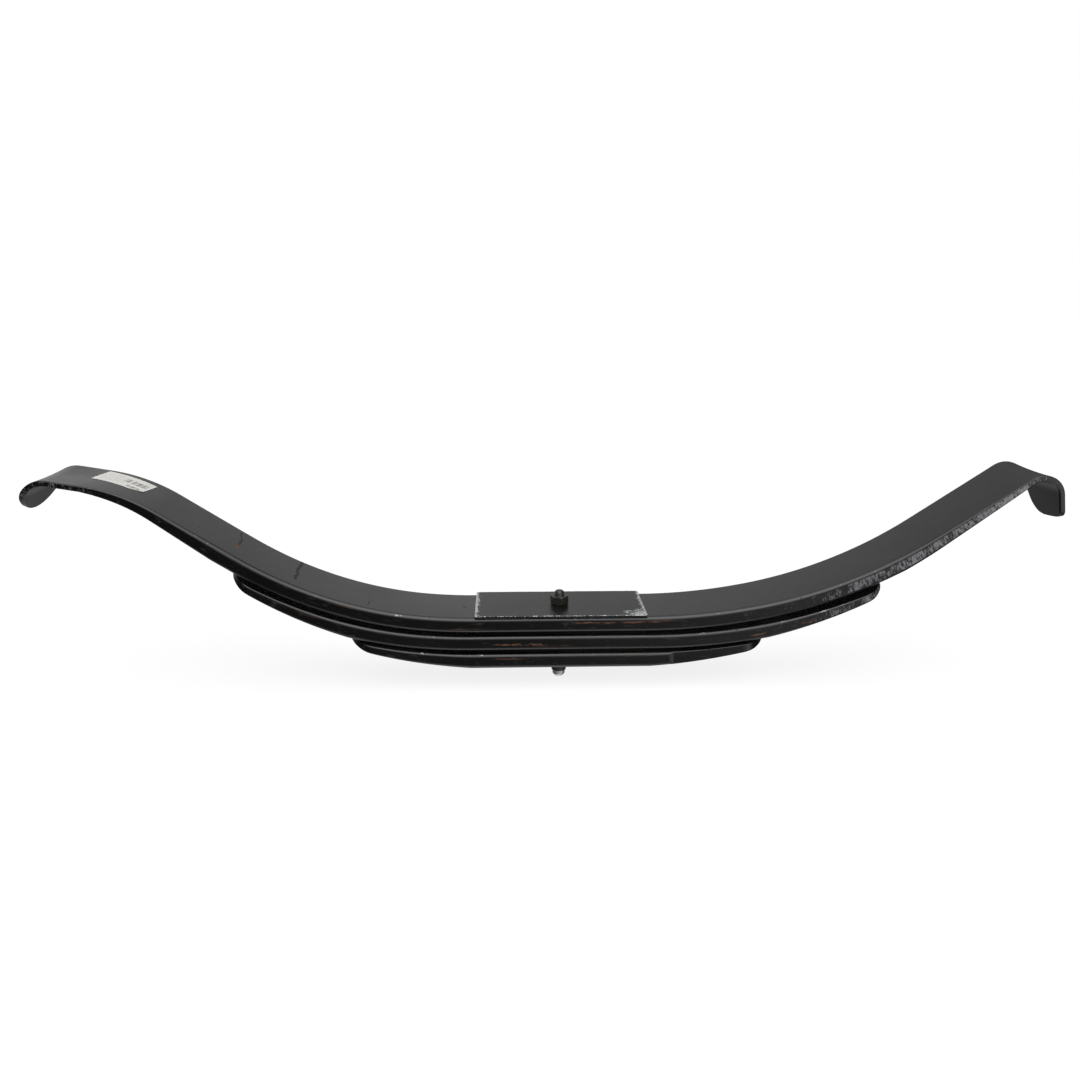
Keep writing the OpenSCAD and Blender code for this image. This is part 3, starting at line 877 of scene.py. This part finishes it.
def padPaint(c):
    # satin black paint, chipped white along the plate's edges, with an oil mark before the nut; dust only
    # on the top, so the thin sides stay darker as painted shade
    material, t, place = newMaterial("padPaint")
    body = useGroup(t, grain, Place=place, Size=650.0)
    axes = t.add("ShaderNodeSeparateXYZ", {0: place}).outputs
    fromSide = t.math("SUBTRACT", seatHalf, t.math("ABSOLUTE", axes["X"]))
    fromFront = t.math("SUBTRACT", halfWidth, t.math("ABSOLUTE", axes["Y"]))
    corner = t.vector("DISTANCE", place, (seatHalf - 0.006, -halfWidth + 0.004, padHigh.z))
    close = t.math("MULTIPLY_ADD", fromSide, -c["sideFade"], c["sideWear"])
    close = t.math("MAXIMUM", close, t.math("MULTIPLY_ADD", fromFront, -c["frontFade"], c["frontWear"]))
    close = t.math("MAXIMUM", close, t.math("MULTIPLY_ADD", corner, -c["cornerFade"], c["cornerWear"]))
    close = t.math("MAXIMUM", close, -0.05)
    flakes = t.math("MULTIPLY_ADD", t.noise(place, 420.0, 5.0, 0.75), 0.7,
                    t.math("MULTIPLY", t.noise(place, 90.0, 2.0), 0.3))
    worn = t.step(t.math("ADD", flakes, close), 0.64, 0.69)
    onTop = t.step(axes["Z"], padHigh.z - 0.0006, padHigh.z - 0.0002)
    worn = t.math("MULTIPLY", worn, onTop)
    # dust only on the top face: the plate's thin sides are left darker as painted shade
    dustAndSideShade = t.math("MULTIPLY", t.step(body["Cloud"], 0.40, 0.72), onTop)
    spot = t.vector("DISTANCE", t.stretch(place, (1, 0.55, 0)), (0.0, -0.0115, 0))
    spot = t.math("ADD", spot, t.math("MULTIPLY", t.noise(place, 300.0, 4.0), 0.006))
    oil = t.step(spot, 0.0145, 0.0105)
    colour = t.mix(t.math("MULTIPLY", dustAndSideShade, 0.8), c["paint"], c["dusty"])
    colour = t.mix(t.math("MULTIPLY", oil, 0.75), colour, c["wet"])
    colour = t.mix(t.math("MULTIPLY", worn, 0.85), colour, c["metal"])
    rough = t.math("ADD", c["roughness"], t.math("MULTIPLY", dustAndSideShade, 0.12))
    rough = t.math("SUBTRACT", rough, t.math("MULTIPLY", oil, 0.08))
    height = t.math("SUBTRACT", body["Height"], t.math("MULTIPLY", worn, 0.4))
    finishMaterial(t, colour, rough, t.math("MULTIPLY", worn, 0.5), height, 0.35, c["specular"])
    return material


boltSteelSet = {
    "bare": (0.72, 0.72, 0.74, 1),
    "dull": (0.45, 0.45, 0.47, 1),
    "paint": (0.03, 0.03, 0.032, 1),
    "paintFrom": -0.0172,
}


def boltSteel(c):
    # bright turned steel on the pilot, with lathe lines, and black paint from the collar up
    material, t, place = newMaterial("boltSteel")
    z = t.add("ShaderNodeSeparateXYZ", {0: place}).outputs["Z"]
    body = useGroup(t, grain, Place=place, Size=900.0)
    ragged = t.math("MULTIPLY", t.noise(place, 260.0, 4.0), 0.0012)
    painted = t.step(t.math("ADD", z, ragged), c["paintFrom"] + 0.0004, c["paintFrom"] + 0.0012)
    turned = t.noise(t.stretch(place, (0.02, 0.02, 1)), 5200.0, 2.0)
    colour = t.mix(t.math("MULTIPLY", body["Cloud"], 0.4), c["bare"], c["dull"])
    colour = t.mix(painted, colour, c["paint"])
    metal = t.math("SUBTRACT", 1.0, painted)
    rough = t.math("ADD", 0.38, t.math("MULTIPLY", body["Cloud"], 0.12))
    height = t.math("ADD", t.math("MULTIPLY", turned, 0.5), body["Height"])
    finishMaterial(t, colour, rough, t.math("MULTIPLY", metal, 0.9), height, 0.25, 0.5)
    return material


nutSteelSet = {"dark": (0.016, 0.015, 0.012, 1), "rubbed": (0.14, 0.13, 0.12, 1)}


def nutSteel(c):
    # dark oily steel, rubbed lighter in spots
    material, t, place = newMaterial("nutSteel")
    body = useGroup(t, grain, Place=place, Size=1100.0)
    spots = t.step(t.noise(place, 420.0, 5.0, 0.7), 0.60, 0.72)
    colour = t.mix(t.math("MULTIPLY", spots, 0.6), c["dark"], c["rubbed"])
    rough = t.math("ADD", 0.30, t.math("MULTIPLY", body["Cloud"], 0.2))
    finishMaterial(t, colour, rough, t.math("MULTIPLY", spots, 0.4), body["Height"], 0.5, 0.5)
    return material


labelPaperSet = {
    "paper": (0.56, 0.555, 0.53, 1),
    "soiled": (0.42, 0.41, 0.38, 1),
    "ink": (0.07, 0.07, 0.075, 1),
}


def labelPaper(c):
    # off-white paper with faint ruled lines and a patch of plain bars, in the label's own map
    material, t, place = newMaterial("labelPaper")
    flat = t.add("ShaderNodeUVMap", uv_map="flat").outputs[0]
    u, v = (t.add("ShaderNodeSeparateXYZ", {0: flat}).outputs[k] for k in ("X", "Y"))
    inside = lambda value, low, high: t.math("MULTIPLY", t.math("GREATER_THAN", value, low),
                                             t.math("LESS_THAN", value, high))
    barNoise = t.noise(t.stretch(flat, (1, 0, 0)), 40.0, 1.0)
    bars = t.math("GREATER_THAN", barNoise, 0.5)
    areas = t.math("MULTIPLY", inside(u, 0.50, 0.94), inside(v, 0.40, 0.72))
    areas = t.math("MAXIMUM", areas, t.math("MULTIPLY", inside(u, 0.60, 0.90), inside(v, 0.10, 0.24)))
    bars = t.math("MULTIPLY", bars, areas)
    lines = t.math("LESS_THAN", t.math("FRACT", t.math("MULTIPLY", v, 9.0)), 0.22)
    dashes = t.math("GREATER_THAN", t.noise(flat, 26.0, 1.0), 0.47)
    lines = t.math("MULTIPLY", t.math("MULTIPLY", lines, dashes),
                   t.math("MULTIPLY", inside(u, 0.08, 0.55), inside(v, 0.15, 0.85)))
    fibre = t.noise(place, 1500.0, 5.0, 0.7)
    soil = t.step(t.noise(place, 120.0, 4.0), 0.45, 0.75)
    colour = t.mix(t.math("MULTIPLY", soil, 0.35), c["paper"], c["soiled"])
    ink = t.math("MAXIMUM", t.math("MULTIPLY", bars, 0.85), t.math("MULTIPLY", lines, 0.60))
    colour = t.mix(ink, colour, c["ink"])
    finishMaterial(t, colour, 0.75, 0.0, fibre, 0.3, 0.3)
    return material


linerShadedPaintSet = {
    # the paint is a shade darker than the leaves': painted shade of the gaps between the leaves
    "paint": (0.0015, 0.0015, 0.0015, 1),
    "grime": (0.008, 0.007, 0.006, 1),
    "roughness": 0.65,
    "specular": 0.12,
}


def linerShadedPaint(c):
    # dull black paint with grime, on the edges of the plates between the leaves; its black is a shade
    # darker than the leaves' paint, as painted shade of the gaps
    material, t, place = newMaterial("linerShadedPaint")
    body = useGroup(t, grain, Place=place, Size=600.0)
    grime = t.step(body["Cloud"], 0.40, 0.70)
    colour = t.mix(grime, c["paint"], c["grime"])
    finishMaterial(t, colour, c["roughness"], 0.0, body["Height"], 0.3, c["specular"])
    return material


paintLeaf, paintPad = leafPaint(leafPaintSet), padPaint(padPaintSet)
paintLinerShaded = linerShadedPaint(linerShadedPaintSet)
steelBolt, steelNut = boltSteel(boltSteelSet), nutSteel(nutSteelSet)
paperWhite = labelPaper(labelPaperSet)
for node, material in (("main_leaf", paintLeaf), ("left_hook", paintLeaf), ("right_hook", paintLeaf),
                       ("second_leaf", paintLeaf), ("third_leaf", paintLeaf), ("top_pad", paintPad),
                       ("upper_liner", paintLinerShaded), ("lower_liner", paintLinerShaded), ("centre_bolt", steelBolt),
                       ("centre_nut", steelNut), ("label", paperWhite)):
    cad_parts[node].data.materials.clear()
    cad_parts[node].data.materials.append(material)
print("materials made")


def bendHalf(piece):
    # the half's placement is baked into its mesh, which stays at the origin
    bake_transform(piece)


for name, piece in leafPieces.items():
    side = -1 if name.endswith("left") else 1
    piece.data.materials.append(paintLeaf)
    bendHalf(piece)
    leaf = name.rsplit("_", 1)[0]
    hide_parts(leaf)
    if leaf == "main_leaf":
        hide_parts("left_hook" if side < 0 else "right_hook")

for name, piece in platePieces.items():
    piece.data.materials.append(paintPad if name.startswith("top_pad") else paintLinerShaded)
    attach(piece, "seat")
    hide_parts(name.rsplit("_", 1)[0])

for key, material, node, slot in (("head", steelBolt, "centre_bolt", "bolt_steel"),
                                  ("end", steelNut, "centre_bolt", "bolt_steel"),
                                  ("nut", steelNut, "centre_nut", "nut_steel")):
    boltPieces[key].data.materials.append(material)
    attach(boltPieces[key], "seat")
    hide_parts(node)

labelPiece.data.materials.append(paperWhite)
bendHalf(labelPiece)
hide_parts("label")
print("pieces placed")
